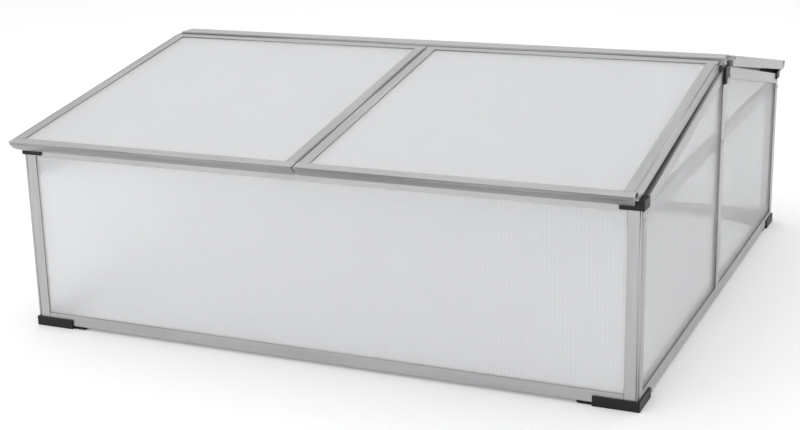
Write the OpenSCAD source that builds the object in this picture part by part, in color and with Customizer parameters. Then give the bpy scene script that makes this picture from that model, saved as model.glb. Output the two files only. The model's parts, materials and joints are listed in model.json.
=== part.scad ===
// Double cold frame: a low growing box with four polycarbonate walls and four lids that
// hinge on a ridge beam along its middle. X runs along the ridge, front is -Y, +Z is up.
// The origin is on the ground, in the middle of the base.

/* [Overall size] */
// Length along the ridge, over the corner posts
frame_l = 1000; // [800:10:1300]
// Depth from front to back, over the corner posts
frame_w = 1000; // [800:10:1300]
// Height of the corner caps, where the lids come to rest
eave_h = 301; // [240:1:380]
// Height of the top of the ridge beam
ridge_h = 409; // [390:1:520]

/* [Sheets] */
// Thickness of the twin-wall sheets
sheet_t = 4; // [3:0.1:6]
// Play on each side of a sheet in its slot
sheet_play = 0.15; // [0.1:0.05:0.3]
// Play between a sheet's edge and the floor of its slot
edge_play = 1; // [0.5:0.1:2]

/* [Aluminium profiles] */
// Wall of every profile
lip_t = 1.5; // [1.2:0.1:2]
// Depth of the slots that hold the sheets
slot_d = 9; // [7:0.1:10.8]
// Width of the corner posts
post_w = 21; // [19:0.5:26]
// Gap where two profiles butt together
butt_gap = 0.2; // [0.1:0.05:0.5]
// Height of the bottom rails
base_rail_h = 18; // [15:0.5:24]
// Height of the top rails, front and back
eave_rail_h = 14.2; // [13.9:0.1:20]
// Height of the sloping side rails
gable_rail_h = 18.5; // [15:0.5:23]
// How far the side rails start below the top rails, at the outer faces
gable_drop = 5.6; // [4:0.1:9]
// Height of the turned lip on each rail's indoor flange
flange_lip = 6; // [3:0.5:8]
// Width of the middle posts
mid_w = 24; // [20:0.5:30]

/* [Side bars] */
// Height of each side bar
bar_h = 20; // [14:0.5:22]
// Thickness of each side bar
bar_t = 12; // [8:0.5:16]
// Wall of each side bar
bar_wall = 1.2; // [1:0.1:1.6]
// Distance from the underside of the corner caps down to the bar
bar_drop = 13; // [4:0.5:24]
// Distance from the top of the bar down to its screws
bar_screw_drop = 4.5; // [4:0.5:8]

/* [Ridge and hinges] */
// Depth of the ridge beam's box
ridge_box_h = 30; // [24:1:40]
// Width of the ridge beam's box
ridge_box_w = 18; // [14:0.5:22]
// Distance of each hinge axis from the middle of the ridge
hinge_y = 22; // [21:0.5:30]
// Depth of the hinge axes below the top of the ridge
hinge_drop = 6; // [5.5:0.1:8]
// Radius of the round bead on each lid
bead_r = 3; // [2.5:0.1:3.4]
// Running clearance round the bead
bead_play = 0.06; // [0.03:0.01:0.1]
// Wall of the hinge sockets
socket_t = 1.5; // [1.2:0.1:1.8]
// Thickness of the neck between bead and lid
neck_t = 1.6; // [1.2:0.1:2]
// Angle that a lid opens
lid_swing = 80; // [40:1:80]

/* [Lids] */
// Thickness of the lid frames
lid_t = 17; // [14:0.5:22]
// Height of a lid's top face above its hinge axis
lid_rise = 4; // [3.5:0.1:5]
// Width of the side stiles
stile_w = 18; // [16:0.5:24]
// Width of the top face of the rail beside the hinge
hinge_rail_w = 12.5; // [12:0.5:18]
// Width of the top face of the nose rail
nose_face_w = 17.3; // [16:0.1:22]
// How far the lids reach past the walls
nose_reach = 33; // [30:1:40]
// Depth of the nose behind its tip
nose_d = 24.5; // [22:0.1:26]
// Radius of the rounded lower corners of the nose rails
nose_corner_r = 14; // [4:0.5:18]
// Gap between neighbouring lids
lid_gap = 2; // [1:0.5:4]
// Inset of the lids from the outer faces of the posts
lid_inset = 1; // [0.5:0.5:4]
// How far the front lids have slid along the ridge
front_slide = -4; // [-8:0.5:8]
// How far the rear lids have slid along the ridge
rear_slide = 8; // [-8:0.5:8]
// Gap between a closed lid and the corner caps
rest_gap = 0.3; // [0.2:0.1:0.6]

/* [Plastic corners] */
// Wall of the plastic parts
plastic_t = 2.5; // [2:0.1:3]
// How far the feet and caps stand proud of the posts
proud = 2.6; // [2.2:0.1:3.2]
// Height of the feet
foot_h = 15; // [10:0.5:20]
// Thickness of the feet under the posts
foot_floor = 5; // [4:0.5:6]
// Length of a foot along the front
foot_l = 68; // [50:1:90]
// Length of a foot along the side
foot_w = 60; // [50:1:90]
// How far the thin tongues reach past a foot
tongue_l = 24; // [10:1:30]
// Thickness of the tongues and of the gusset with the peg hole
tongue_t = 3; // [2:0.5:4]
// Distance of the peg holes from the outer faces of the posts
peg_inset = 34; // [32:1:40]
// Radius of the peg holes
peg_r = 4.25; // [3:0.25:5]
// Height of the corner caps
cap_h = 14.5; // [12:0.5:20]
// Length of a cap along the front
cap_l = 35; // [30:1:50]
// Length of a cap along the side
cap_w = 28; // [26:1:34]
// Height of the ridge clips
clip_h = 27; // [24:1:40]
// Width of the ridge clips
clip_w = 32; // [28:1:44]
// Thickness of the ridge clips
clip_t = 4.5; // [3:0.5:6]

/* [Screws] */
// Radius of the shanks of the frame screws
screw_r = 2.2; // [1.8:0.1:2.4]
// Radius of the pan heads of the frame screws
screw_head_r = 4.6; // [3.6:0.1:5]
// Height of the pan heads
screw_head_h = 2.4; // [1.6:0.1:3]
// Radius of the shanks of the lid screws
lid_screw_r = 1.65; // [1.4:0.05:1.9]
// Length of a lid screw inside its stile
lid_screw_l = 18; // [12:1:30]
// Clearance of a screw in its hole
screw_play = 0.06; // [0.03:0.01:0.15]

/* [Hidden] */
$fn = 48;
hx = frame_l / 2;
hy = frame_w / 2;
eps = 0.5;

// Sheet slots
slot_w = sheet_t + 2 * sheet_play;
rail_d = 2 * lip_t + slot_w;
sheet_in = lip_t + sheet_play;
post_core = post_w - slot_d;

// Levels of the walls
cap_bottom = eave_h - cap_h;
rail_top = eave_h - plastic_t - 0.3;
rail_l = frame_l - 2 * (post_w + butt_gap);
rail_w = frame_w - 2 * (post_w + butt_gap);
base_top = foot_floor + base_rail_h;
sheet_z0 = base_top - slot_d + edge_play;
wall_sheet_z1 = rail_top - (eave_rail_h - slot_d) - edge_play;
sheet_edge = post_core + edge_play;

// Ridge, hinge axes and the slope of the closed lids
hinge_z = ridge_h - hinge_drop;
plate_t = 2.6;
ridge_box_z0 = ridge_h - 3 - ridge_box_h;
lid_low = lid_t - lid_rise;
rest_dy = hy + proud - hinge_y;
rest_dz = hinge_z - eave_h - rest_gap;
lid_slope = atan(rest_dz / rest_dy) - asin(lid_low / norm([rest_dy, rest_dz]));

// The side rails run from under the caps to just below the lids at the ridge
back_wall_s = socket_t + bead_r + bead_play + 0.9;
gable_z0 = rail_top - gable_drop;
lid_back_y = hinge_y + back_wall_s * cos(lid_slope) - lid_low * sin(lid_slope);
lid_back_z = hinge_z - back_wall_s * sin(lid_slope) - lid_low * cos(lid_slope);
gable_gap = 0.4;
gable_slope = atan((lid_back_z - gable_gap - gable_z0) / (hy - lid_back_y));
mid_post_z0 = base_top + butt_gap;
mid_post_z1 = ridge_box_z0 - butt_gap;
mid_web = 7;
mid_box_d = max(post_core - rail_d, 2 * lip_t);
clip_z1 = ridge_box_z0 + 17.5;
clip_z0 = clip_z1 - clip_h;
clip_screw_z = mid_post_z1 - 4.8;

// The side bars lie indoors against the three posts of their wall
bar_z0 = cap_bottom - bar_drop - bar_h;
bar_in = rail_d + mid_box_d + butt_gap;
bar_end = rail_d + butt_gap;
bar_screw_z = bar_z0 + bar_h - bar_screw_drop;
screw_y = post_core - screw_r;

// Lid profiles, along s (down the slope from the hinge) and n (square to the lid, up)
lid_l = hx - lid_inset - lid_gap / 2;
slot_n1 = lid_rise - lip_t;
slot_n0 = slot_n1 - slot_w;
lip_n0 = slot_n0 - lip_t;
hinge_rail_s1 = back_wall_s + hinge_rail_w;
stile_s0 = hinge_rail_s1 + butt_gap;
tip_s = (hy + nose_reach - hinge_y - lid_rise * sin(lid_slope)) / cos(lid_slope);
nose_s0 = tip_s - nose_d;
face_s0 = tip_s - nose_face_w;
nose_slot_s1 = face_s0 + slot_d;
nose_back = 33.4;
nose_up = 10;
nose_r = norm([nose_back, nose_up]);
nose_c = [tip_s - nose_back, lid_rise + nose_up];
port_r = lid_screw_r + screw_play;
port_wall = 1.2;
port_x = lip_t + port_r + port_wall - 0.2;
port_n = -lid_low + port_x;

// ---------------------------------------------------------------- placing

// Moves a front left corner, drawn from its outer corner inwards, to any corner.
module at_corner(right, rear) {
  flip_x(right) flip_y(rear) translate([-hx, -hy, 0]) children();
}

module flip_x(on) {
  if (on) mirror([1, 0, 0]) children();
  else children();
}

module flip_y(on) {
  if (on) mirror([0, 1, 0]) children();
  else children();
}

// Runs a section along X: its x becomes Y and its y becomes Z.
module along_x(x0, x1) {
  translate([x0, 0, 0]) rotate([90, 0, 90]) linear_extrude(x1 - x0) children();
}

// Runs a section along Y: its x stays X and its y becomes Z.
module along_y(y0, y1) {
  translate([0, y1, 0]) rotate([90, 0, 0]) linear_extrude(y1 - y0) children();
}

// Moves a lid piece, drawn for the rear right lid in (x, s, n), to any lid.
module at_lid(right, rear) {
  translate([rear ? rear_slide : front_slide, 0, 0]) flip_x(!right) flip_y(!rear)
    translate([0, hinge_y, hinge_z]) rotate([-lid_slope, 0, 0]) children();
}

// ---------------------------------------------------------------- feet and caps

// L-shaped outline of a plastic corner: two arms of their own length, of one width.
module corner_outline(arm_x, arm_y, width, out) {
  translate([-out, -out]) square([arm_x, width + out]);
  translate([-out, -out]) square([width + out, arm_y]);
}

module corner_foot(right, rear) color([0.13, 0.13, 0.14]) at_corner(right, rear) {
  difference() {
    union() {
      linear_extrude(foot_h)
        corner_outline(foot_l, foot_w, post_w + butt_gap + plastic_t, proud);
      // Gusset in the inner corner, with the hole for a ground peg
      linear_extrude(tongue_t)
        polygon([[post_w, post_w], [foot_l - proud, post_w], [post_w, foot_w - proud]]);
      foot_tongue(foot_l);
      mirror([1, -1, 0]) foot_tongue(foot_w);
    }
    // Sockets for the post and the two bottom rails
    translate([0, 0, foot_floor]) linear_extrude(foot_h) {
      translate([-butt_gap / 2, -butt_gap / 2])
        square([foot_l, post_w + 1.5 * butt_gap]);
      translate([-butt_gap / 2, -butt_gap / 2])
        square([post_w + 1.5 * butt_gap, foot_w]);
    }
    translate([peg_inset, peg_inset, -eps]) cylinder(r = peg_r, h = tongue_t + 2 * eps);
  }
  // Spigot that locates the hollow of the post
  translate([0, 0, foot_floor]) post_spigot(foot_h + 8);
}

// Thin tongue past the end of a foot's arm along X, with a sloping end.
module foot_tongue(arm) {
  slope = tongue_t;
  translate([0, post_w - lip_t, 0]) rotate([90, 0, 0]) linear_extrude(post_w - 2 * lip_t)
    polygon([
      [arm - proud - eps, 0], [arm - proud + tongue_l - slope, 0],
      [arm - proud + tongue_l, tongue_t], [arm - proud - eps, tongue_t]
    ]);
}

module post_spigot(h) {
  side = post_core - 2 * lip_t - butt_gap;
  translate([lip_t + butt_gap / 2, lip_t + butt_gap / 2, 0]) cube([side, side, h]);
}

module corner_cap(right, rear) color([0.13, 0.13, 0.14]) at_corner(right, rear) {
  difference() {
    translate([0, 0, cap_bottom]) linear_extrude(cap_h)
      corner_outline(cap_l, cap_w, post_w + butt_gap, proud);
    // Hollow from below over the post and the ends of the rails
    translate([-butt_gap / 2, -butt_gap / 2, cap_bottom - eps])
      cube([cap_l + eps, cap_w + eps, rail_top + butt_gap / 2 - cap_bottom + eps]);
    // Sloping lower end of the side skirt
    translate([-proud - eps, cap_w - proud, cap_bottom])
      rotate([45, 0, 0]) translate([0, -cap_w, -cap_w / 2])
        cube([proud + eps + butt_gap, 2 * cap_w, cap_w / 2]);
  }
  translate([0, 0, rail_top - 16]) post_spigot(eave_h - plastic_t - rail_top + 16 + eps);
}

// ---------------------------------------------------------------- wall profiles

// Corner post: a square tube with two slots, each holding the edge of a sheet.
module post_section() {
  groove = 0.8;
  groove_at = 3.4;
  bead = 2.2;
  difference() {
    union() {
      square([post_core, post_core]);
      square([post_w, rail_d]);
      square([rail_d, post_w]);
    }
    translate([lip_t, lip_t]) square([post_core - 2 * lip_t, post_core - 2 * lip_t]);
    translate([post_core, lip_t]) square([slot_d + eps, slot_w]);
    translate([lip_t, post_core]) square([slot_w, slot_d + eps]);
    translate([groove_at, -eps]) square([groove, eps + groove * 0.75]);
    translate([-eps, groove_at]) square([eps + groove * 0.75, groove]);
    difference() {
      translate([-eps, -eps]) square([bead + eps, bead + eps]);
      translate([bead, bead]) circle(bead);
    }
  }
}

module corner_post(right, rear) color([0.78, 0.79, 0.8]) at_corner(right, rear)
  difference() {
    translate([0, 0, foot_floor]) linear_extrude(rail_top - foot_floor) post_section();
    screw_hole(screw_y, bar_screw_z, post_core);
  }

// Hole for a frame screw, from the outer side face inwards, at y and z.
module screw_hole(y, z, depth) {
  translate([-eps, y, z]) rotate([0, 90, 0])
    cylinder(r = screw_r + screw_play, h = depth + 2 * eps);
}

// Rail with a sheet slot. x runs indoors from the outer face, y from the closed side to
// the mouth of the slot.
module rail_section(h) {
  hollow = h - slot_d - 2 * lip_t;
  difference() {
    union() {
      square([rail_d, h]);
      square([post_w, lip_t]);
      translate([post_w - lip_t, 0]) square([lip_t, flange_lip]);
    }
    translate([lip_t, h - slot_d]) square([slot_w, slot_d + eps]);
    if (hollow > 0) translate([lip_t, lip_t]) square([slot_w, hollow]);
  }
}

module bottom_rail_long(rear) color([0.78, 0.79, 0.8])
  flip_y(rear) translate([0, -hy, foot_floor])
    along_x(-rail_l / 2, rail_l / 2) rail_section(base_rail_h);

module bottom_rail_side(right) color([0.78, 0.79, 0.8])
  flip_x(right) translate([-hx, 0, foot_floor])
    along_y(-rail_w / 2, rail_w / 2) rail_section(base_rail_h);

module top_rail(rear) color([0.78, 0.79, 0.8])
  flip_y(rear) translate([0, -hy, rail_top])
    along_x(-rail_l / 2, rail_l / 2) mirror([0, 1]) rail_section(eave_rail_h);

// Sloping side rail, cut upright at the corner post and at the middle post.
module gable_rail(right, rear) color([0.78, 0.79, 0.8]) at_corner(right, rear)
  intersection() {
    translate([0, 0, gable_z0]) rotate([gable_slope, 0, 0])
      along_y(-post_w, frame_w) mirror([0, 1]) rail_section(gable_rail_h);
    translate([-eps, post_w + butt_gap, 0])
      cube([post_w + 2 * eps, hy - mid_w / 2 - post_w - 2 * butt_gap, ridge_h]);
  }

// Middle post: an H that holds a sheet on either side, with a box behind it.
module middle_post_section() {
  box = mid_w - 10;
  difference() {
    union() {
      translate([0, -mid_w / 2]) square([rail_d, mid_w]);
      translate([rail_d - lip_t, -box / 2]) square([mid_box_d + lip_t, box]);
    }
    for (side = [-1, 1])
      translate([lip_t, side > 0 ? mid_web / 2 : -mid_w / 2 - eps])
        square([slot_w, mid_w / 2 - mid_web / 2 + eps]);
    translate([rail_d, -box / 2 + lip_t]) square([mid_box_d - lip_t, box - 2 * lip_t]);
  }
}

module middle_post(right) color([0.78, 0.79, 0.8]) flip_x(right) translate([-hx, 0, 0])
  difference() {
    translate([0, 0, mid_post_z0])
      linear_extrude(mid_post_z1 - mid_post_z0) middle_post_section();
    screw_hole(0, bar_screw_z, rail_d + mid_box_d);
    screw_hole(0, clip_screw_z, rail_d);
  }

// Tube along the inside of a side wall, screwed to its three posts.
module side_bar(right) color([0.8, 0.81, 0.82]) flip_x(right)
  translate([-hx + bar_in, 0, 0]) difference() {
    along_y(-hy + bar_end, hy - bar_end) translate([0, bar_z0]) difference() {
      square([bar_t, bar_h]);
      translate([bar_wall, bar_wall]) square([bar_t - 2 * bar_wall, bar_h - 2 * bar_wall]);
    }
    for (y = [-hy + screw_y, 0, hy - screw_y]) screw_hole(y, bar_screw_z, bar_wall);
  }

// ---------------------------------------------------------------- ridge

// Angles of the socket's mouth, from straight out over the lid, up being positive.
mouth_margin = 6;
neck_angle = asin(neck_t / 2 / (bead_r + bead_play));
mouth_a0 = -lid_slope - neck_angle - mouth_margin;
mouth_a1 = lid_swing - lid_slope + neck_angle + mouth_margin;

module ridge_section() {
  socket_r = bead_r + bead_play;
  plate_y = hinge_y - socket_r - 0.9;
  reach = 3 * socket_r;
  difference() {
    union() {
      translate([-ridge_box_w / 2, ridge_box_z0])
        square([ridge_box_w, ridge_h - ridge_box_z0]);
      translate([-plate_y, ridge_h - plate_t]) square([2 * plate_y, plate_t]);
      translate([-hinge_y, hinge_z - socket_t / 2]) square([2 * hinge_y, socket_t]);
      for (side = [-1, 1]) translate([side * hinge_y, hinge_z]) circle(socket_r + socket_t);
    }
    translate([-ridge_box_w / 2 + lip_t, ridge_box_z0 + lip_t])
      square([ridge_box_w - 2 * lip_t, ridge_box_h - 2 * lip_t]);
    for (side = [0, 1]) mirror([side, 0]) translate([hinge_y, hinge_z]) {
      circle(socket_r);
      polygon([
        [0, 0],
        for (i = [0 : 3])
          let (a = mouth_a0 + i / 3 * (mouth_a1 - mouth_a0)) reach * [cos(a), sin(a)]
      ]);
    }
  }
}

module ridge_beam() color([0.78, 0.79, 0.8]) along_x(-hx, hx) ridge_section();

// Black end clip: a plate with two round lobes over the ridge end and the middle post.
module clip_outline() {
  lobe = 9;
  waist = clip_z0 + clip_h * 0.57;
  difference() {
    translate([-clip_w / 2, clip_z0]) square([clip_w, clip_h]);
    round_off([clip_w / 2, clip_z0], lobe, -1, 1);
    round_off([clip_w / 2, clip_z1], lobe * 0.6, -1, -1);
    round_off([-clip_w / 2, clip_z1], lobe * 0.6, 1, -1);
    translate([clip_w / 2 + 1, waist]) circle(4.2);
  }
}

// Cuts a corner at p round to radius r; dx and dy point into the plate.
module round_off(p, r, dx, dy) {
  translate(p) difference() {
    translate([min(0, dx * r) - (dx > 0 ? eps : 0), min(0, dy * r) - (dy > 0 ? eps : 0)])
      square([r + eps, r + eps]);
    translate([dx * r, dy * r]) circle(r);
  }
}

// The same moulding fits both ends, so the left one is turned half round.
module ridge_clip(left) color([0.13, 0.13, 0.14]) rotate([0, 0, left ? 180 : 0]) {
  spigot_l = 20;
  spigot_w = ridge_box_w - 2 * lip_t - butt_gap;
  difference() {
    along_x(hx + butt_gap, hx + butt_gap + clip_t) clip_outline();
    translate([hx, 0, clip_screw_z]) rotate([0, 90, 0])
      cylinder(r = screw_r + screw_play, h = clip_t + 2 * eps);
  }
  translate([hx - spigot_l, -spigot_w / 2, ridge_box_z0 + lip_t + butt_gap / 2])
    cube([spigot_l + butt_gap + eps, spigot_w, 14]);
}

// ---------------------------------------------------------------- wall sheets

module wall_sheet(rear) color([0.9, 0.91, 0.91, 0.8]) flip_y(rear)
  translate([-hx + sheet_edge, -hy + sheet_in, sheet_z0])
    cube([frame_l - 2 * sheet_edge, sheet_t, wall_sheet_z1 - sheet_z0]);

// Height of a side sheet's sloping top edge, y in from the outer face.
function side_sheet_top(y) =
  gable_z0 + y * tan(gable_slope)
  - (gable_rail_h - slot_d + edge_play) / cos(gable_slope);

module side_sheet(right, rear) color([0.88, 0.89, 0.89, 0.8]) at_corner(right, rear) {
  y0 = sheet_edge;
  y1 = hy - mid_web / 2 - edge_play;
  // The top corner at the middle post is cut level, to stay under the ridge beam
  top = min(side_sheet_top(y1), mid_post_z1 - edge_play);
  y_top = (top - side_sheet_top(0)) / tan(gable_slope);
  along_x(sheet_in, sheet_in + sheet_t) polygon([
    [y0, sheet_z0], [y1, sheet_z0], [y1, top], [y_top, top], [y0, side_sheet_top(y0)]
  ]);
}

// ---------------------------------------------------------------- screws

// Pan-head screw along -X with its head's underside at the origin, and a cross recess.
module pan_screw(length) {
  slot = 0.9;
  rotate([0, 90, 0]) {
    difference() {
      cylinder(r1 = screw_head_r, r2 = screw_head_r * 0.72, h = screw_head_h);
      for (turn = [0, 90]) rotate([0, 0, turn])
        translate([-screw_head_r * 0.5, -slot / 2, screw_head_h * 0.45])
          cube([screw_head_r, slot, screw_head_h]);
    }
    translate([0, 0, -length]) cylinder(r = screw_r, h = length + eps / 2);
  }
}

module frame_screws() color([0.7, 0.7, 0.72]) for (side = [0, 1]) {
  flip_x(side == 1) {
    for (y = [-hy + screw_y, 0, hy - screw_y])
      translate([hx + screw_play, y, bar_screw_z]) pan_screw(bar_in + bar_wall + 3);
    translate([hx + butt_gap + clip_t + screw_play, 0, clip_screw_z])
      pan_screw(clip_t + butt_gap + rail_d + 0.5);
  }
}

// ---------------------------------------------------------------- lids

// Rail beside the hinge: round bead, neck, slot for the sheet and a box under it.
module hinge_rail_section() {
  s0 = back_wall_s;
  difference() {
    union() {
      circle(bead_r);
      translate([0, -neck_t / 2]) square([s0 + eps, neck_t]);
      translate([s0, -lid_low]) square([hinge_rail_w, lid_t]);
    }
    translate([hinge_rail_s1 - slot_d, slot_n0]) square([slot_d + eps, slot_w]);
    translate([s0 + lip_t, -lid_low + lip_t])
      square([hinge_rail_w - 2 * lip_t, lid_low + lip_n0 - lip_t]);
  }
}

// Nose rail: a flat top face, then a long round front down to a lip before the wall.
module nose_section() {
  groove_r = 0.7;
  difference() {
    intersection() {
      translate(nose_c) circle(nose_r, $fn = 128);
      translate([nose_s0, -nose_r]) square([nose_d, nose_r + lid_rise]);
    }
    // Room for the sheet, which lies on the lower lip
    translate([nose_s0 - eps, slot_n0]) square([nose_d - nose_face_w + eps, slot_w + 3]);
    translate([face_s0 - eps, slot_n0]) square([slot_d + eps, slot_w]);
    // Hollow of the nose
    intersection() {
      translate(nose_c) circle(nose_r - lip_t, $fn = 128);
      union() {
        translate([nose_s0 + lip_t, -nose_r]) square([nose_d, nose_r + lip_n0]);
        translate([nose_slot_s1 + lip_t, -nose_r]) square([nose_d, nose_r + slot_n1]);
      }
    }
    // Two fine grooves along the round front
    for (a = [-24, -40])
      translate(nose_c + nose_r * [cos(a), sin(a)]) circle(groove_r);
  }
}

// Cuts the lower corners of a nose rail round, seen from the front.
module nose_end_cut(x, out) {
  bottom = nose_c[1] - nose_r;
  along_y(nose_s0 - 1, tip_s + 1) round_off([x, bottom], nose_corner_r, -out, 1);
}

module stile_section() {
  groove = 1.5;
  box_w = 12;
  difference() {
    union() {
      translate([0, lip_n0]) square([stile_w, lid_rise - lip_n0]);
      translate([0, -lid_low]) square([box_w, lid_low]);
    }
    translate([stile_w - slot_d, slot_n0]) square([slot_d + eps, slot_w]);
    difference() {
      translate([lip_t, -lid_low + lip_t])
        square([box_w - 2 * lip_t, lid_low + lip_n0 - lip_t]);
      translate([port_x, port_n]) circle(port_r + port_wall);
    }
    translate([lip_t, slot_n0]) square([stile_w - slot_d - 2 * lip_t, slot_w]);
    translate([port_x, port_n]) circle(port_r);
    translate([lip_t, lid_rise - 0.6]) square([groove, 0.6 + eps]);
  }
}

module lid_sheet(right, rear) color([0.93, 0.94, 0.94, 0.85]) at_lid(right, rear) {
  inset = stile_w - slot_d + edge_play;
  s0 = hinge_rail_s1 - slot_d + edge_play;
  translate([lid_gap / 2 + inset, s0, slot_n0 + sheet_play])
    cube([lid_l - 2 * inset, nose_slot_s1 - edge_play - s0, sheet_t]);
}

module lid_hinge_rail(right, rear) color([0.78, 0.79, 0.8]) at_lid(right, rear)
  difference() {
    along_x(lid_gap / 2, lid_gap / 2 + lid_l) hinge_rail_section();
    lid_screw_holes(hinge_rail_s1 - lip_t - eps, hinge_rail_s1 + eps);
  }

module lid_nose_rail(right, rear) color([0.78, 0.79, 0.8]) at_lid(right, rear)
  difference() {
    along_x(lid_gap / 2, lid_gap / 2 + lid_l) nose_section();
    nose_end_cut(lid_gap / 2 + lid_l, 1);
    nose_end_cut(lid_gap / 2, -1);
    lid_screw_holes(nose_s0 - eps, nose_s0 + lip_t + eps);
  }

// Holes for the lid screws, over a range of s.
module lid_screw_holes(s0, s1) {
  for (x = [lid_gap / 2 + port_x, lid_gap / 2 + lid_l - port_x])
    translate([x, s0, port_n]) rotate([-90, 0, 0]) cylinder(r = port_r, h = s1 - s0);
}

// A stile butts against the hinge rail, and its top runs over the nose rail's lower lip.
module lid_stile(right, rear, outer) color([0.78, 0.79, 0.8]) at_lid(right, rear)
  translate([outer ? lid_gap / 2 + lid_l : lid_gap / 2, 0, 0]) difference() {
    along_y(stile_s0, face_s0 - butt_gap) mirror([outer ? 1 : 0, 0]) stile_section();
    translate([-stile_w - eps, nose_s0 - butt_gap, -lid_low - eps])
      cube([2 * stile_w + 2 * eps, nose_d, lid_low + eps + slot_n0 + butt_gap / 2]);
  }

// Four screws that hold the stiles between the rails, heads inside the rails.
module lid_screws(right, rear) color([0.7, 0.7, 0.72]) at_lid(right, rear)
  for (x = [lid_gap / 2 + port_x, lid_gap / 2 + lid_l - port_x]) {
    translate([x, hinge_rail_s1 - lip_t - screw_play, port_n]) rotate([-90, 0, 0])
      lid_screw();
    translate([x, nose_s0 + lip_t + screw_play, port_n]) rotate([90, 0, 0]) lid_screw();
  }

// Lid screw with its head's underside at the origin and its shank along +Z.
module lid_screw() {
  head_h = 1.8;
  translate([0, 0, -head_h]) cylinder(r = lid_screw_r + 1, h = head_h);
  translate([0, 0, -0.1]) cylinder(r = lid_screw_r, h = lid_screw_l);
}

// ---------------------------------------------------------------- the parts

for (right = [false, true]) {
  side = right ? "right" : "left";
  bottom_rail_side(right);
  middle_post(right);
  side_bar(right);
  ridge_clip(!right);
  for (rear = [false, true]) {
    place = str(rear ? "rear_" : "front_", side);
    lid = str("lid_", place, "_");
    corner_foot(right, rear);
    corner_post(right, rear);
    gable_rail(right, rear);
    corner_cap(right, rear);
    side_sheet(right, rear);
    lid_sheet(right, rear);
    lid_hinge_rail(right, rear);
    lid_nose_rail(right, rear);
    lid_stile(right, rear, true);
    lid_stile(right, rear, false);
    lid_screws(right, rear);
  }
}
for (rear = [false, true]) {
  place = rear ? "rear" : "front";
  bottom_rail_long(rear);
  top_rail(rear);
  wall_sheet(rear);
}
ridge_beam();
frame_screws();
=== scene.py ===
# %% [markdown]
# # A double cold frame
# A cold frame is a low glazed box that stands on a garden bed. This one has walls and lids of
# translucent twin-wall sheet, held in slotted aluminium profiles. Black plastic feet and caps
# join the corners, and four lids hinge on a ridge beam. The frame with the real sizes is loaded
# first, and every piece made here is placed by it, so nothing needs fitting afterwards.

# %% Load the frame
import json
import math
import bpy
import numpy as np
from mathutils import Matrix, Vector


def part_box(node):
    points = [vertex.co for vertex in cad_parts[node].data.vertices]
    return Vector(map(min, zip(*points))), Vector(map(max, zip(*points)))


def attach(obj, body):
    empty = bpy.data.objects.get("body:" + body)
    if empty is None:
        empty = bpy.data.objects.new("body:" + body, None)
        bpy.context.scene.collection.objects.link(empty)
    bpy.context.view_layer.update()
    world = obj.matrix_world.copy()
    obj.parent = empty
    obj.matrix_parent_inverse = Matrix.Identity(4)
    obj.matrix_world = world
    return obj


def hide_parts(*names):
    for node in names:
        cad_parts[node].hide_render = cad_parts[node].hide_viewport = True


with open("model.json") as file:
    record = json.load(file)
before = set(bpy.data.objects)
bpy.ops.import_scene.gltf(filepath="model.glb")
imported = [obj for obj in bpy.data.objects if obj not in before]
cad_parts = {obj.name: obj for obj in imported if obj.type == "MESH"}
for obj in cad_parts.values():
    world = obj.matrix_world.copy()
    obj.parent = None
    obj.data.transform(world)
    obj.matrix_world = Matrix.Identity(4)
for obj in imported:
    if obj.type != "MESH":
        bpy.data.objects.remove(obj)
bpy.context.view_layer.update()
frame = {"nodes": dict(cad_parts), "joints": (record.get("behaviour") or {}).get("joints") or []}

# %% [markdown]
# ## Camera
# The camera stands in front of the right-hand corner and a little above it. Its direction is
# given by two angles, turn and height above the horizon, and a slight roll. Three unit vectors
# follow from them, and as columns they are the camera's own rotation matrix.

# %% Camera
turn, height, roll = (math.radians(a) for a in (24.14, 15.91, -1.28))
ahead = np.array([-math.sin(turn) * math.cos(height), math.cos(turn) * math.cos(height), -math.sin(height)])
right = np.array([math.cos(turn), math.sin(turn), 0.0])
above = np.cross(right, ahead)
cam_right = right * math.cos(roll) + above * math.sin(roll)
cam_up = above * math.cos(roll) - right * math.sin(roll)

camera = bpy.data.objects.new("camera", bpy.data.cameras.new("camera"))
bpy.context.scene.collection.objects.link(camera)
camera.data.lens, camera.data.sensor_width = 65.95, 36.0
turned = Matrix([list(row) for row in np.column_stack([cam_right, cam_up, -ahead])]).to_4x4()
camera.matrix_world = Matrix.Translation((0.966, -2.323, 0.817)) @ turned
bpy.context.scene.camera = camera
print("camera looks along", ahead.round(3))

# %% [markdown]
# ## Floor, sky and lamps
# A pale floor and a pale sky give the soft light of a studio. The sky is dimmer towards +X, so
# the right-hand side keeps a shade of its own. A wide lamp overhead adds a faint shadow, and a
# wide lamp to the left of the camera lights the front wall without reaching the right-hand side.
# Colours are shown with the plain Standard transform, so white stays white.

# %% Floor, sky and lamps
bpy.context.scene.view_settings.view_transform = "Standard"

sky = bpy.data.worlds.new("sky")
sky.use_nodes = True
sky_tree = sky.node_tree
sky_tree.nodes["Background"].inputs["Color"].default_value = (0.985, 0.99, 1.0, 1.0)
direction = sky_tree.nodes.new("ShaderNodeTexCoord")
axes = sky_tree.nodes.new("ShaderNodeSeparateXYZ")
side = sky_tree.nodes.new("ShaderNodeMapRange")
side.interpolation_type = "SMOOTHSTEP"
for label, number in (("From Min", 0.0), ("From Max", 0.9), ("To Min", 0.94), ("To Max", 0.72)):
    side.inputs[label].default_value = number
sky_tree.links.new(direction.outputs["Generated"], axes.inputs[0])
sky_tree.links.new(axes.outputs["X"], side.inputs["Value"])
sky_tree.links.new(side.outputs["Result"], sky_tree.nodes["Background"].inputs["Strength"])
bpy.context.scene.world = sky


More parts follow.
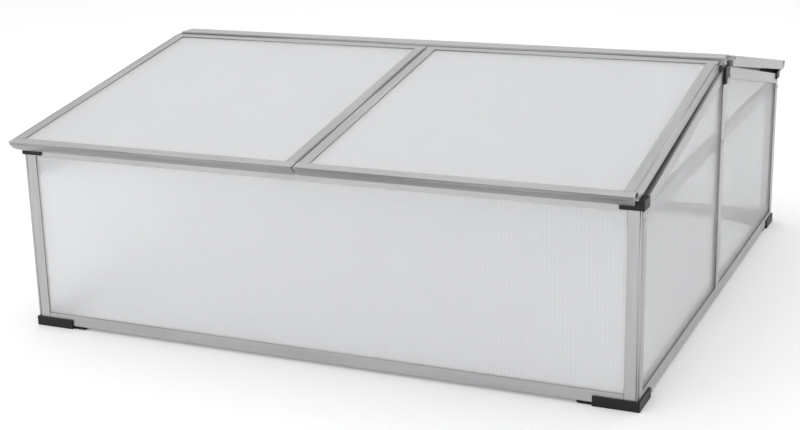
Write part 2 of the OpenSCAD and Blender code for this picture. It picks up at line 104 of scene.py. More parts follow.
def wide_lamp(name, size, energy, place, target):
    """A rectangular lamp at place that shines towards target."""
    lamp = bpy.data.objects.new(name, bpy.data.lights.new(name, "AREA"))
    lamp.data.shape, lamp.data.size, lamp.data.size_y, lamp.data.energy = "RECTANGLE", *size, energy
    aim = (Vector(target) - Vector(place)).to_track_quat("-Z", "Y")
    lamp.matrix_world = Matrix.Translation(place) @ aim.to_matrix().to_4x4()
    bpy.context.scene.collection.objects.link(lamp)


wide_lamp("overhead_lamp", (3.4, 3.0), 16.0, (-0.3, 0.5, 2.8), (-0.3, 0.5, 0.0))
wide_lamp("front_lamp", (2.6, 1.4), 18.0, (-1.1, -3.2, 1.1), (0.0, -0.5, 0.15))

floor_mesh = bpy.data.meshes.new("floor")
floor_mesh.from_pydata([(-20, -20, 0), (20, -20, 0), (20, 20, 0), (-20, 20, 0)], [], [(0, 1, 2, 3)])
floor = bpy.data.objects.new("floor", floor_mesh)
bpy.context.scene.collection.objects.link(floor)
floor_paint = bpy.data.materials.new("floor_paint")
floor_paint.use_nodes = True
for label, number in (("Base Color", (0.94, 0.94, 0.94, 1.0)), ("Roughness", 0.9),
                      ("Specular IOR Level", 0.1), ("Emission Color", (1.0, 1.0, 1.0, 1.0)),
                      ("Emission Strength", 0.11)):
    floor_paint.node_tree.nodes["Principled BSDF"].inputs[label].default_value = number
floor_mesh.materials.append(floor_paint)
print("floor, sky and lamps made")

# %% [markdown]
# ## Shared effects as node groups
# Two effects turn up in several finishes, so each is a node group with named sockets.
# *Drawn lines* are the fine scores that a die leaves along an extruded profile: noise that is
# stretched far along the profile and squeezed across it. It reads the UV map, where U is the
# distance along a profile and V the distance round it. *Moulded grain* is the fine skin of
# moulded plastic, and reads Object coordinates. Both put out plain values and a height.

# %% Node groups for drawn lines and moulded grain
def new_group(name, inputs, outputs):
    """An empty node group with named float inputs (name, default) and float outputs."""
    group = bpy.data.node_groups.new(name, "ShaderNodeTree")
    for label, default in inputs:
        socket = group.interface.new_socket(label, in_out="INPUT", socket_type="NodeSocketFloat")
        socket.default_value = default
    for label in outputs:
        group.interface.new_socket(label, in_out="OUTPUT", socket_type="NodeSocketFloat")
    return group, group.nodes.new("NodeGroupInput"), group.nodes.new("NodeGroupOutput")


def noise_at(group, scale_xyz, coord_socket, detail, distortion=0.0):
    """A noise texture whose space is first stretched by scale_xyz."""
    stretch = group.nodes.new("ShaderNodeMapping")
    stretch.inputs["Scale"].default_value = scale_xyz
    noise = group.nodes.new("ShaderNodeTexNoise")
    noise.inputs["Scale"].default_value = 1.0
    noise.inputs["Detail"].default_value = detail
    noise.inputs["Distortion"].default_value = distortion
    group.links.new(coord_socket, stretch.inputs["Vector"])
    group.links.new(stretch.outputs["Vector"], noise.inputs["Vector"])
    return noise.outputs["Fac"]


def ramp(group, value, low, high, to_low, to_high):
    """Straight-line change of a value from the range low..high to to_low..to_high."""
    change = group.nodes.new("ShaderNodeMapRange")
    for label, number in (("From Min", low), ("From Max", high)):
        change.inputs[label].default_value = number
    for label, number in (("To Min", to_low), ("To Max", to_high)):
        if isinstance(number, (int, float)):
            change.inputs[label].default_value = number
        else:
            group.links.new(number, change.inputs[label])
    group.links.new(value, change.inputs["Value"])
    return change.outputs["Result"]


drawn_lines, lines_in, lines_out = new_group(
    "drawn_lines", [("Roughness Low", 0.3), ("Roughness High", 0.45)], ["Lines", "Cloud", "Roughness"])
uv = drawn_lines.nodes.new("ShaderNodeTexCoord").outputs["UV"]
fine = noise_at(drawn_lines, (3.0, 2600.0, 1.0), uv, 2.0)
cloud = noise_at(drawn_lines, (6.0, 60.0, 1.0), uv, 3.0, 0.4)
drawn_lines.links.new(fine, lines_out.inputs["Lines"])
drawn_lines.links.new(cloud, lines_out.inputs["Cloud"])
drawn_lines.links.new(
    ramp(drawn_lines, fine, 0.3, 0.7, lines_in.outputs["Roughness Low"], lines_in.outputs["Roughness High"]),
    lines_out.inputs["Roughness"])

moulded_grain, grain_in, grain_out = new_group("moulded_grain", [("Scale", 900.0)], ["Grain", "Cloud"])
place = moulded_grain.nodes.new("ShaderNodeTexCoord").outputs["Object"]
speck = moulded_grain.nodes.new("ShaderNodeTexNoise")
speck.inputs["Detail"].default_value = 3.0
moulded_grain.links.new(place, speck.inputs["Vector"])
moulded_grain.links.new(grain_in.outputs["Scale"], speck.inputs["Scale"])
moulded_grain.links.new(speck.outputs["Fac"], grain_out.inputs["Grain"])
moulded_grain.links.new(noise_at(moulded_grain, (30.0, 30.0, 30.0), place, 3.0), grain_out.inputs["Cloud"])
print("node groups:", [g.name for g in bpy.data.node_groups])

# %% [markdown]
# ## Finishes
# Each finish is one Principled shader. What is the same all over the surface is set on the
# shader's own socket. Only what varies comes through a link: a tint, a roughness or a bump.

# %% Helpers for finishes
def new_finish(name, **fixed):
    """A material with its Principled shader, whose sockets named in fixed get constant values."""
    finish = bpy.data.materials.new(name)
    finish.use_nodes = True
    shader = finish.node_tree.nodes["Principled BSDF"]
    for label, number in fixed.items():
        shader.inputs[label.replace("_", " ")].default_value = number
    return finish, finish.node_tree, shader


def place_group(tree, group, **values):
    """Puts a node group into a material's tree, with its inputs set."""
    node = tree.nodes.new("ShaderNodeGroup")
    node.node_tree = group
    for label, number in values.items():
        node.inputs[label.replace("_", " ")].default_value = number
    return node


def tint(tree, factor, dark, light, low=0.3, high=0.7):
    """A colour between dark and light, by a value that runs from low to high."""
    mix = tree.nodes.new("ShaderNodeMix")
    mix.data_type = "RGBA"
    mix.inputs["A"].default_value = (*dark, 1.0)
    mix.inputs["B"].default_value = (*light, 1.0)
    tree.links.new(ramp(tree, factor, low, high, 0.0, 1.0), mix.inputs["Factor"])
    return mix.outputs["Result"]


def bump(tree, shader, value, depth):
    """Feeds the shader's normal with a bump whose height is value times depth in metres."""
    node = tree.nodes.new("ShaderNodeBump")
    node.inputs["Distance"].default_value = depth
    node.inputs["Strength"].default_value = 1.0
    tree.links.new(value, node.inputs["Height"])
    tree.links.new(node.outputs["Normal"], shader.inputs["Normal"])

# %% [markdown]
# ### Aluminium, plastic and steel
# Mill-finish aluminium is a grey metal with a satin gloss. Its fine lines run along the
# profile, and they change its roughness more than its colour. The black plastic is matt with a
# fine grain. The screws are plain zinc-plated steel.

# %% Aluminium, plastic and steel
aluminium, tree, shader = new_finish("mill_aluminium", Metallic=1.0, Specular_IOR_Level=0.5)
scores = place_group(tree, drawn_lines, Roughness_Low=0.3, Roughness_High=0.44)
tree.links.new(tint(tree, scores.outputs["Cloud"], (0.42, 0.422, 0.427), (0.48, 0.482, 0.487)),
               shader.inputs["Base Color"])
tree.links.new(scores.outputs["Roughness"], shader.inputs["Roughness"])
bump(tree, shader, scores.outputs["Lines"], 0.00003)

black_plastic, tree, shader = new_finish("black_plastic", Specular_IOR_Level=0.35)
skin = place_group(tree, moulded_grain, Scale=1400.0)
tree.links.new(tint(tree, skin.outputs["Cloud"], (0.003, 0.003, 0.0035), (0.007, 0.007, 0.0075)),
               shader.inputs["Base Color"])
tree.links.new(ramp(tree, skin.outputs["Cloud"], 0.3, 0.7, 0.4, 0.52), shader.inputs["Roughness"])
bump(tree, shader, skin.outputs["Grain"], 0.00006)

steel, tree, shader = new_finish("zinc_steel", Metallic=1.0)
skin = place_group(tree, moulded_grain, Scale=500.0)
tree.links.new(tint(tree, skin.outputs["Cloud"], (0.5, 0.5, 0.5), (0.62, 0.62, 0.61)),
               shader.inputs["Base Color"])
tree.links.new(ramp(tree, skin.outputs["Grain"], 0.3, 0.7, 0.25, 0.4), shader.inputs["Roughness"])
print("finishes for metal and plastic made")

# %% [markdown]
# ### Twin-wall sheet
# The sheets are milky: each face scatters part of the light and passes the rest in a wide
# spread, so the inside is lit through them and only what lies close behind shows as a shade.
# Each rib shows as a fine paler line, made by a wave across the sheet in the UV map, with one
# period for each flute. The lids are of a milkier grade that lets less through.

# %% Twin-wall sheet
FLUTE = 0.006


def sheet_finish(name, colour, passing, line, rough):
    """Twin-wall finish: line is how much paler the ribs are, passing the share of light that each
    face lets through."""
    finish, tree, shader = new_finish(name, Roughness=rough, IOR=1.35, Transmission_Weight=passing)
    uv = tree.nodes.new("ShaderNodeTexCoord").outputs["UV"]
    wave = tree.nodes.new("ShaderNodeTexWave")
    wave.wave_type, wave.bands_direction, wave.wave_profile = "BANDS", "X", "SIN"
    # At a scale of 1 the bands repeat every 2 pi / 20
    wave.inputs["Scale"].default_value = 2 * math.pi / FLUTE / 20
    tree.links.new(uv, wave.inputs["Vector"])
    sharp = tree.nodes.new("ShaderNodeMath")
    sharp.operation = "POWER"
    sharp.inputs[1].default_value = 4.0
    tree.links.new(wave.outputs["Fac"], sharp.inputs[0])
    low, high = (tuple(c * k for c in colour) for k in (1 - line, 1.0))
    tree.links.new(tint(tree, sharp.outputs[0], low, high, 0.0, 1.0), shader.inputs["Base Color"])
    bump(tree, shader, wave.outputs["Fac"], 0.00004)
    return finish, tree, shader


lid_finish, _, _ = sheet_finish("lid_sheet", (0.88, 0.885, 0.89), 0.46, 0.02, 0.5)
wall_finish, tree, shader = sheet_finish("wall_sheet", (0.95, 0.955, 0.96), 0.58, 0.07, 0.5)

# The side bar lies close behind the side sheets and shows through them as a straight shade. So
# their faces, which are further than SIDE_FROM from the middle in X, also let part of the light
# straight on.
SIDE_FROM, SIDE_ALL, SIDE_ALPHA = 0.49, 0.4925, 0.42
apart = tree.nodes.new("ShaderNodeSeparateXYZ")
tree.links.new(tree.nodes.new("ShaderNodeTexCoord").outputs["Object"], apart.inputs[0])
across = tree.nodes.new("ShaderNodeMath")
across.operation = "ABSOLUTE"
tree.links.new(apart.outputs["X"], across.inputs[0])
tree.links.new(ramp(tree, across.outputs[0], SIDE_FROM, SIDE_ALL, 1.0, SIDE_ALPHA), shader.inputs["Alpha"])
print("sheet finishes made, flute pitch", FLUTE * 1000, "mm")

# %% [markdown]
# ## Profiles: a section carried along a straight path
# An aluminium profile has one section from end to end. So it is drawn once as a closed line of
# corners in millimetres, its corners are rounded, and it is carried from one saw cut to the
# other. A box with bevels would be quicker, but it would show none of the slots and lips.

# %% Rounding the corners of a section
def rounded(corners, radius=0.4, steps=5):
    """Each corner P between neighbours A and B becomes a short arc: the curve
    (1-t)^2 S + 2t(1-t) P + t^2 E, where S and E lie a radius back along the two edges.
    Points that turn by less than 20 degrees belong to a drawn arc and stay as they are."""
    p = np.asarray(corners, float)
    back, on = np.roll(p, 1, 0) - p, np.roll(p, -1, 0) - p
    back_l, on_l = (np.linalg.norm(v, axis=1, keepdims=True) for v in (back, on))
    r = np.minimum(np.broadcast_to(np.asarray(radius, float).reshape(-1, 1), back_l.shape),
                   0.45 * np.minimum(back_l, on_l))
    s, e = p + back / back_l * r, p + on / on_l * r
    t = np.linspace(0, 1, steps)[None, :, None]
    arc = (1 - t) ** 2 * s[:, None] + 2 * t * (1 - t) * p[:, None] + t ** 2 * e[:, None]
    corner = -(back * on).sum(1) / (back_l * on_l)[:, 0] < math.cos(math.radians(20))
    keep = np.ones(arc.shape[:2], bool)
    keep[~corner, 1:] = False
    arc[~corner, 0] = p[~corner]
    return arc[keep]


def arc_points(centre, radius, from_deg, to_deg, count):
    """Points on a circle: centre + radius (cos a, sin a), a from from_deg to to_deg."""
    a = np.radians(np.linspace(from_deg, to_deg, count))[:, None]
    return np.asarray(centre, float) + radius * np.hstack([np.cos(a), np.sin(a)])

# %% Carrying a section along a path
ARC_STRIP = 1.3


def finish_mesh(name, points, faces, uvs, smooth, finish):
    """A mesh object at the origin from points in metres, with a UV map and a finish."""
    mesh = bpy.data.meshes.new(name)
    mesh.from_pydata(points.tolist(), [], faces)
    mesh.uv_layers.new(name="along").data.foreach_set("uv", np.asarray(uvs, np.float32).ravel())
    mesh.polygons.foreach_set("use_smooth", smooth)
    mesh.materials.append(finish)
    mesh.update()
    piece = bpy.data.objects.new(name, mesh)
    bpy.context.scene.collection.objects.link(piece)
    return piece


def carried(name, section, origin, across, up, along, start, end, finish):
    """Point (u, v) of the section at distance w lies at origin + u across + v up + w along.
    start and end are distances, or functions of (u, v) where a cut slopes, curves or steps."""
    n = len(section)
    axes = np.array([across, up, along], float)
    w = np.stack([np.broadcast_to(f(*section.T) if callable(f) else f, n) for f in (start, end)])
    uvw = np.concatenate([np.broadcast_to(section, (2, n, 2)), w[..., None]], 2).reshape(-1, 3)
    points = (np.asarray(origin, float) + uvw @ axes) / 1000
    i = np.arange(n)
    j = (i + 1) % n
    step = np.linalg.norm(section[j] - section, axis=1)
    v0 = np.cumsum(step) - step
    sides = np.stack([i, j, n + j, n + i], 1)
    side_uv = np.stack([np.stack([w[0], v0], 1), np.stack([w[0][j], v0 + step], 1),
                        np.stack([w[1][j], v0 + step], 1), np.stack([w[1], v0], 1)], 1)
    area = (section[:, 0] * section[j][:, 1] - section[j][:, 0] * section[:, 1]).sum()
    if area * np.linalg.det(axes) < 0:
        sides, side_uv, i = sides[:, ::-1], side_uv[:, ::-1], i[::-1]
    faces = sides.tolist() + [i[::-1].tolist(), (n + i).tolist()]
    uvs = np.concatenate([side_uv.reshape(-1, 2), section[i[::-1]], section[i]]) / 1000
    # Strips narrower than ARC_STRIP belong to an arc and are shaded smooth, unlike the two ends
    smooth = np.append(step < ARC_STRIP, [False, False])
    return finish_mesh(name, points, faces, uvs, smooth, finish)


def stand_for(piece, node, body):
    """The piece takes the node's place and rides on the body."""
    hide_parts(node)
    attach(piece, body)
    return piece


# %% [markdown]
# ### Sizes and places
# Half the length and depth over the posts come from the frame's corner posts. The frame's
# sections are drawn for the front left corner, from its outer corner inwards, and a sign for
# each axis takes them to the other corners.

# %% Sizes and places
def low_high(node):
    """A node's lowest and highest corner in millimetres."""
    return (np.array(corner) * 1000 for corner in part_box(node))


post_lo, post_hi = low_high("corner_post_front_right")
HX, HY = post_hi[0], -post_lo[1]
WALL, SLOT, SLOT_DEEP, POST = 1.5, 4.3, 9.0, post_hi[0] - post_lo[0]
SHEET, SHEET_PLAY, EDGE_PLAY = 4.0, 0.15, 1.0  # a lid sheet's thickness, and the room in its slots
RAIL = 2 * WALL + SLOT
SIDES = {"left": -1, "right": 1}
ENDS = {"front": -1, "rear": 1}
print("half sizes", HX, HY, "post width", round(POST, 2))

# %% [markdown]
# ### Rails
# All rails share one section: a slot for the sheet, a wall on either side of it, and a flange
# that stiffens it indoors, with a turned-up lip. The bottom rails have the slot on top, and the
# top rails hang upside down. The gable rails lie on the slope, cut upright at both ends.

# %% Rail section
FLANGE_LIP = 6.0


def rail_section(h):
    """Corners (u indoors from the outer face, v from the closed side to the slot's mouth)."""
    return rounded([(0, 0), (POST, 0), (POST, FLANGE_LIP), (POST - WALL, FLANGE_LIP), (POST - WALL, WALL),
                    (RAIL, WALL), (RAIL, h), (WALL + SLOT, h), (WALL + SLOT, h - SLOT_DEEP),
                    (WALL, h - SLOT_DEEP), (WALL, h), (0, h)])


def straight_rail(node, inward, up):
    """A level rail: the section stands on the node's low or high face and runs its whole length."""
    lo, hi = low_high(node)
    run = np.array([1.0, 0, 0]) if inward[0] == 0 else np.array([0, 1.0, 0])
    origin = np.where(np.array(inward) < 0, hi, lo)
    origin[2] = lo[2] if up > 0 else hi[2]
    origin = origin * (1 - run)
    start, end = (lo * run).sum(), (hi * run).sum()
    piece = carried(node + "_profile", rail_section(hi[2] - lo[2]), origin, inward, (0, 0, up), run,
                    start, end, aluminium)
    return stand_for(piece, node, "frame")


for end, sign in ENDS.items():
    straight_rail("bottom_rail_" + end, (0, -sign, 0), 1)
    straight_rail("top_rail_" + end, (0, -sign, 0), -1)
for side, sign in SIDES.items():
    straight_rail("bottom_rail_" + side, (-sign, 0, 0), 1)
print("level rails made")

# %% Gable rails
# The rail's height square to the slope, and how high its upper face is at the outer corner
GABLE_H, GABLE_Z0 = 18.5, 292.6
_, g_hi = low_high("gable_rail_front_right")
gable_slope = math.atan((g_hi[2] - GABLE_Z0) / (g_hi[1] + HY))
print("gable slope", round(math.degrees(gable_slope), 2), "degrees")

for end, fy in ENDS.items():
    for side, fx in SIDES.items():
        node = "gable_rail_%s_%s" % (end, side)
        lo, hi = low_high(node)
        near, far = sorted(abs(v) for v in (lo[1], hi[1]))
        c, s = math.cos(gable_slope), math.sin(gable_slope)
        along, down = (0, -fy * c, s), (0, -fy * s, -c)
        # A cut at distance y from the outer face: y = w c + v s, so w = (y - v s) / c
        piece = carried(node + "_profile", rail_section(GABLE_H),
                        (fx * HX, fy * HY, GABLE_Z0), (-fx, 0, 0), down, along,
                        lambda u, v, y=HY - far: (y - v * s) / c,
                        lambda u, v, y=HY - near: (y - v * s) / c, aluminium)
        stand_for(piece, node, "frame")
print("gable rails made")

# %% [markdown]
# ### Posts
# A corner post is a square core with two slotted arms. A fine groove and a soft corner bead run
# down its outer faces. A middle post is an H that holds a sheet on either side, with a box
# behind it for stiffness.

# %% Posts
core = POST - SLOT_DEEP
near, far, sunk = 3.4, 4.2, 0.6  # where the fine groove starts and ends, and how deep it is
post_corners = [(0, 0), (near, 0), (near, sunk), (far, sunk), (far, 0), (POST, 0), (POST, WALL),
                (core, WALL), (core, WALL + SLOT), (POST, WALL + SLOT), (POST, RAIL), (core, RAIL),
                (core, core), (RAIL, core), (RAIL, POST), (WALL + SLOT, POST), (WALL + SLOT, core),
                (WALL, core), (WALL, POST), (0, POST), (0, far), (sunk, far), (sunk, near), (0, near)]
corner_r = np.full(len(post_corners), 0.4)
corner_r[0] = 2.2  # the soft corner bead
post_section = rounded(post_corners, corner_r)
for end, fy in ENDS.items():
    for side, fx in SIDES.items():
        node = "corner_post_%s_%s" % (end, side)
        lo, hi = low_high(node)
        piece = carried(node + "_profile", post_section, (fx * HX, fy * HY, 0), (-fx, 0, 0), (0, -fy, 0),
                        (0, 0, 1), lo[2], hi[2], aluminium)
        stand_for(piece, node, "frame")

mid_lo, mid_hi = low_high("middle_post_right")
half, web, box = mid_hi[1], 3.5, 7.0  # half widths of the flanges, the web and the box
depth = mid_hi[0] - mid_lo[0]
middle_section = rounded([(0, -half), (WALL, -half), (WALL, -web), (WALL + SLOT, -web),
                          (WALL + SLOT, -half), (RAIL, -half), (RAIL, -box), (depth, -box),
                          (depth, box), (RAIL, box), (RAIL, half), (WALL + SLOT, half),
                          (WALL + SLOT, web), (WALL, web), (WALL, half), (0, half)])
for side, fx in SIDES.items():
    node = "middle_post_" + side
    piece = carried(node + "_profile", middle_section, (fx * HX, 0, 0), (-fx, 0, 0), (0, 1, 0), (0, 0, 1),
                    mid_lo[2], mid_hi[2], aluminium)
    stand_for(piece, node, "frame")
print("posts made, section points:", len(post_section), len(middle_section))

# %% [markdown]
# ### Ridge beam
# The ridge beam is a box with a flat top and two C-shaped sockets. Each socket is open over
# the lid, so the lid's round bead can turn in it. The right half of the section is drawn from
# the top downwards, and the left half is its mirror image.

# %% Ridge beam
lid_joint = next(j for j in frame["joints"] if j["child"] == "lid_rear_right")
HINGE_Y, HINGE_Z = lid_joint["pos_m"][1] * 1000, lid_joint["pos_m"][2] * 1000
beam_lo, beam_hi = low_high("ridge_beam")
# The bead's radius, the play round it, the socket's wall, half the bead's neck, and the room
# that the beam's plate and the lid's rail keep from the socket
BEAD, PLAY, SOCKET, HALF_NECK, CLEAR = 3.0, 0.06, 1.5, 0.8, 0.9
bore, ring = BEAD + PLAY, BEAD + PLAY + SOCKET

# A closed lid reaches LOW below its hinge line and stays REST above the eave, an edge EAVE high
# and PROUD outside the posts
LOW, REST, EAVE, PROUD = 13.0, 0.3, 301.0, 2.6
rest_run, rest_drop = HY + PROUD - HINGE_Y, HINGE_Z - EAVE - REST
LID_SLOPE = math.atan(rest_drop / rest_run) - math.asin(LOW / math.hypot(rest_run, rest_drop))
SWING, MARGIN = 80, 6  # how far a lid opens, and the room left for its neck at both ends
neck = math.degrees(math.asin(HALF_NECK / bore))
mouth = (-math.degrees(LID_SLOPE) - neck - MARGIN, SWING - math.degrees(LID_SLOPE) + neck + MARGIN)
arm = SOCKET / 2  # half the thickness of the web between box and socket
arm_a = math.degrees(math.asin(arm / ring))
arm_y = HINGE_Y - ring * math.cos(math.radians(arm_a))
plate_y = HINGE_Y - bore - CLEAR
PLATE, BOX_Y, FILLET = 2.6, 9.0, 4.0  # plate thickness, half box width, angle left for a fillet
plate_z = beam_hi[2] - PLATE
half_section = np.concatenate([
    [(plate_y, beam_hi[2]), (plate_y, plate_z), (BOX_Y, plate_z), (BOX_Y, HINGE_Z + arm),
     (arm_y, HINGE_Z + arm)],
    arc_points((HINGE_Y, HINGE_Z), ring, 180 - arm_a - FILLET, mouth[1], 16),
    arc_points((HINGE_Y, HINGE_Z), bore, mouth[1], 360 + mouth[0], 40),
    arc_points((HINGE_Y, HINGE_Z), ring, 360 + mouth[0], 180 + arm_a + FILLET, 26),
    [(arm_y, HINGE_Z - arm), (BOX_Y, HINGE_Z - arm), (BOX_Y, beam_lo[2])]])
beam_section = rounded(np.concatenate([half_section, half_section[::-1] * (-1, 1)]), 0.35)
beam = carried("ridge_beam_profile", beam_section, (0, 0, 0), (0, 1, 0), (0, 0, 1), (1, 0, 0),
               beam_lo[0], beam_hi[0], aluminium)
stand_for(beam, "ridge_beam", "frame")
print("ridge beam made, lid slope", round(math.degrees(LID_SLOPE), 2), "degrees, mouth", mouth)

# %% [markdown]
# ## Lids
# A lid is drawn in its own two directions: s down the slope from the hinge and n square to its
# face. The rail beside the hinge ends in the round bead. The nose rail has a long rounded front
# with two fine grooves, and its lower corners are rounded off. The stiles close the sides.

# %% Lid sections
# The upper face's height over the hinge line, the gap between two lids, how far the lids stay
# inside the posts, and the joint between stile and rail
RISE, GAP, INSET, JOINT = 4.0, 2.0, 1.0, 0.2
slot_hi, slot_lo = RISE - WALL, RISE - WALL - SLOT
lip = slot_lo - WALL
lid_x0, lid_x1 = GAP / 2, HX - INSET
s_back = ring + CLEAR
# The hinge rail's width, how far the nose reaches past the posts, and how far its lower and
# upper inner edges lie behind the tip
HINGE_FACE, REACH, NOSE_DEEP, NOSE_FACE = 12.5, 33.0, 24.5, 17.3
s_hinge = s_back + HINGE_FACE
s_tip = (HY + REACH - HINGE_Y - RISE * math.sin(LID_SLOPE)) / math.cos(LID_SLOPE)
s_nose, s_face = s_tip - NOSE_DEEP, s_tip - NOSE_FACE

bead_a = math.degrees(math.asin(HALF_NECK / BEAD))
hinge_section = rounded(np.concatenate([
    arc_points((0, 0), BEAD, bead_a, 360 - bead_a, 48),
    [(s_back, -HALF_NECK), (s_back, -LOW), (s_hinge, -LOW), (s_hinge, slot_lo),
     (s_hinge - SLOT_DEEP, slot_lo), (s_hinge - SLOT_DEEP, slot_hi), (s_hinge, slot_hi),
     (s_hinge, RISE), (s_back, RISE), (s_back, HALF_NECK)]]))

# The nose's front is an arc about a point NOSE_BACK behind the tip and NOSE_UP over the lid
NOSE_BACK, NOSE_UP = 33.4, 10.0
GROOVES, GROOVE_DEEP, GROOVE_WIDE = (-24, -40), 0.6, 0.9
nose_c = np.array([s_tip - NOSE_BACK, RISE + NOSE_UP])
nose_r = math.hypot(NOSE_BACK, NOSE_UP)
low_a = -math.degrees(math.acos((s_nose - nose_c[0]) / nose_r))
tip_a = -math.degrees(math.asin(NOSE_UP / nose_r))
a = np.linspace(low_a, tip_a, 90)
dip = sum(GROOVE_DEEP * np.exp(-((a - g) / GROOVE_WIDE) ** 2) for g in GROOVES)
front = nose_c + (nose_r - dip)[:, None] * np.stack([np.cos(np.radians(a)), np.sin(np.radians(a))], 1)
nose_section = rounded(np.concatenate([
    front, [(s_face, RISE), (s_face, slot_hi), (s_face + SLOT_DEEP, slot_hi), (s_face + SLOT_DEEP, slot_lo),
            (s_nose, slot_lo)]]), 0.5)
nose_low = front[:, 1].min()

# A stile's closed part and its whole width. Two corners close together on its outer face let
# the upper part end further out than the lower one
STILE, LIPS = 12.0, 18.0
floor_u, step_n = LIPS - SLOT_DEEP, slot_lo + 0.1
near, far, sunk = 1.5, 3.0, RISE - 0.6
stile_section = rounded([(0, -LOW), (STILE, -LOW), (STILE, lip), (LIPS, lip), (LIPS, slot_lo),
                         (floor_u, slot_lo), (floor_u, slot_hi), (LIPS, slot_hi), (LIPS, RISE),
                         (far, RISE), (far, sunk), (near, sunk), (near, RISE), (0, RISE),
                         (0, step_n + 0.02), (0, step_n - 0.02)])
print("lid sections made, tip at s =", round(s_tip, 2))

# %% Lid frames
NOSE_CORNER = 14.0


def lid_place(body, fx):
    """Where a lid's own X starts, since lids slide along the ridge: its hinge rail's inner end
    less half the gap."""
    lo, hi = low_high(body + "_hinge_rail")
    return (lo[0] if fx > 0 else hi[0]) - fx * lid_x0


def nose_end(at, out):
    """Where the nose rail ends at (s, n): at x, drawn in by r - sqrt(r^2 - (r - h)^2) below the
    height r, which rounds the lower corner."""
    r = NOSE_CORNER
    return lambda s, n: at - out * (r - np.sqrt(r * r - np.clip(r - (n - nose_low), 0, r) ** 2))


def stile_end(u, n):
    """A stile's upper part runs to the nose rail's face, and its lower part stops at its lip."""
    return np.where(n > step_n, s_face, s_nose) - JOINT


lid_c, lid_s = math.cos(LID_SLOPE), math.sin(LID_SLOPE)
for end, fy in ENDS.items():
    for side, fx in SIDES.items():
        body = "lid_%s_%s" % (end, side)
        hinge = (lid_place(body, fx), fy * HINGE_Y, HINGE_Z)
        down, out = (0, fy * lid_c, -lid_s), (0, fy * lid_s, lid_c)
        run = (fx, 0, 0)
        rail = carried(body + "_hinge_rail_profile", hinge_section, hinge, down, out, run,
                       lid_x0, lid_x1, aluminium)
        stand_for(rail, body + "_hinge_rail", body)
        nose = carried(body + "_nose_rail_profile", nose_section, hinge, down, out, run,
                       nose_end(lid_x0, -1), nose_end(lid_x1, 1), aluminium)
        stand_for(nose, body + "_nose_rail", body)
        for name, x, inward in (("inner_stile", lid_x0, 1), ("outer_stile", lid_x1, -1)):
            foot = np.array(hinge) + np.array(run) * x
            stile = carried("%s_%s_profile" % (body, name), stile_section, foot, (fx * inward, 0, 0), out,
                            down, s_hinge + JOINT, stile_end, aluminium)
            stand_for(stile, body + "_" + name, body)
print("lid frames made")

# %% [markdown]
# ## Twin-wall sheets
# A twin-wall sheet is two skins joined by thin ribs, with a long hollow flute between each pair
# of ribs. The skins sink a little between the ribs as the sheet cools, and that gives it its
# fine stripes. So each sheet is one closed plate whose two faces stand up at every rib and dip
# along every flute. The hollow flutes themselves are left out: each extra face inside the sheet
# would swallow light, and the inside of the frame would look black.

# %% Fluted sheet
RIB, DIP, SHOULDER = 0.5, 0.1, 0.5


def fluted(name, width, bottom, top, thick, origin, across, up, inward, finish):
    """Point (a, h, t) lies at origin + a across + h up + t inward. Each flute has four columns:
    rib edge, rib edge, dip edge, dip edge, where the faces lie 0, 0, DIP and DIP deep. The
    height h runs from bottom to top(a)."""
    count = int((width - RIB) // (FLUTE * 1000))
    pitch = (width - RIB) / count
    corners = np.array([0, RIB, RIB + SHOULDER, pitch - SHOULDER])
    a = np.append((np.arange(count)[:, None] * pitch + corners).ravel(), [width - RIB, width])
    deep = np.append(np.tile([0, 0, DIP, DIP], count), [0, 0])
    m = len(a)
    h = np.stack([np.full(m, float(bottom)), np.broadcast_to(top(a), m)])
    t = np.stack([deep, thick - deep])
    # The grid has four rows of columns: face (0 outer, 1 inner) times end (0 bottom, 1 top)
    grid = np.stack(np.broadcast_arrays(a, h[None], t[:, None]), -1)
    axes = np.array([across, up, inward], float)
    points = (np.asarray(origin, float) + grid.reshape(-1, 3) @ axes) / 1000
    i = np.arange(m - 1)

    def row(face, end, k):
        return (face * 2 + end) * m + k

    sides = [(row(0, 0, i), row(0, 0, i + 1), row(0, 1, i + 1), row(0, 1, i)),
             (row(1, 0, i), row(1, 1, i), row(1, 1, i + 1), row(1, 0, i + 1)),
             (row(0, 0, i), row(1, 0, i), row(1, 0, i + 1), row(0, 0, i + 1)),
             (row(0, 1, i), row(0, 1, i + 1), row(1, 1, i + 1), row(1, 1, i))]
    ends = [[row(0, 0, 0), row(0, 1, 0), row(1, 1, 0), row(1, 0, 0)],
            [row(0, 0, m - 1), row(1, 0, m - 1), row(1, 1, m - 1), row(0, 1, m - 1)]]
    quads = np.concatenate([np.stack(side, 1) for side in sides] + [np.array(ends)])
    if np.linalg.det(axes) > 0:
        quads = quads[:, ::-1]
    uvs = grid.reshape(-1, 3)[quads.ravel()][:, :2] / 1000 * [FLUTE * 1000 / pitch, 1.0]
    return finish_mesh(name, points, quads.tolist(), uvs, np.zeros(len(quads), bool), finish)

# %% Wall and side sheets
for end, fy in ENDS.items():
    node = "wall_sheet_" + end
    lo, hi = low_high(node)
    outer = lo[1] if fy < 0 else hi[1]
    piece = fluted(node + "_fluted", hi[0] - lo[0], lo[2], lambda a: hi[2], hi[1] - lo[1],
                   (lo[0], outer, 0), (1, 0, 0), (0, 0, 1), (0, -fy, 0), wall_finish)
    stand_for(piece, node, "frame")

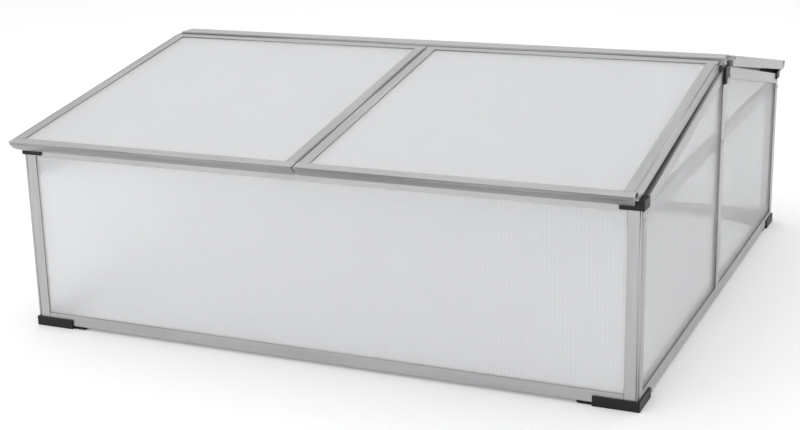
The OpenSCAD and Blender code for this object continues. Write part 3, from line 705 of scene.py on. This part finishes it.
for end, fy in ENDS.items():
    for side, fx in SIDES.items():
        node = "side_sheet_%s_%s" % (end, side)
        lo, hi = low_high(node)
        near, far = sorted(abs(v) for v in (lo[1], hi[1]))
        rise = math.tan(gable_slope)
        base = GABLE_Z0 - (GABLE_H - SLOT_DEEP + EDGE_PLAY) / math.cos(gable_slope)
        # The top edge follows the gable rail and is cut level beside the middle post
        top = lambda a, first=HY - far, limit=hi[2]: np.minimum(base + (first + a) * rise, limit)
        outer = fx * max(abs(lo[0]), abs(hi[0]))
        piece = fluted(node + "_fluted", far - near, lo[2], top, hi[0] - lo[0],
                       (outer, fy * far, 0), (0, -fy, 0), (0, 0, 1), (-fx, 0, 0), wall_finish)
        stand_for(piece, node, "frame")
print("wall and side sheets made")

# %% Lid sheets
s0, s1 = s_hinge - SLOT_DEEP + EDGE_PLAY, s_face + SLOT_DEEP - EDGE_PLAY
x0, x1 = lid_x0 + floor_u + EDGE_PLAY, lid_x1 - floor_u - EDGE_PLAY
top_n = slot_lo + SHEET_PLAY + SHEET
for end, fy in ENDS.items():
    for side, fx in SIDES.items():
        body = "lid_%s_%s" % (end, side)
        origin = (lid_place(body, fx) + fx * x0, fy * (HINGE_Y + top_n * lid_s), HINGE_Z + top_n * lid_c)
        piece = fluted(body + "_sheet_fluted", x1 - x0, s0, lambda a: s1, SHEET, origin, (fx, 0, 0),
                       (0, fy * lid_c, -lid_s), (0, -fy * lid_s, -lid_c), lid_finish)
        stand_for(piece, body + "_sheet", body)
print("lid sheets made")

# %% [markdown]
# ## Pieces carried over from the frame
# The feet, caps, ridge clips, side bars and screws already have their true shape in the frame.
# They keep it, and only get their finish.

# %% Finishes for the carried-over pieces
CARRIED = {"corner_foot": black_plastic, "corner_cap": black_plastic, "ridge_clip": black_plastic,
           "side_bar": aluminium, "frame_screws": steel, "lid_": steel}
for node, piece in frame["nodes"].items():
    finish = next((f for start, f in CARRIED.items() if node.startswith(start)), None)
    if finish:
        piece.data.materials.clear()
        piece.data.materials.append(finish)
print("carried over:", sum(node.startswith(tuple(CARRIED)) for node in frame["nodes"]))
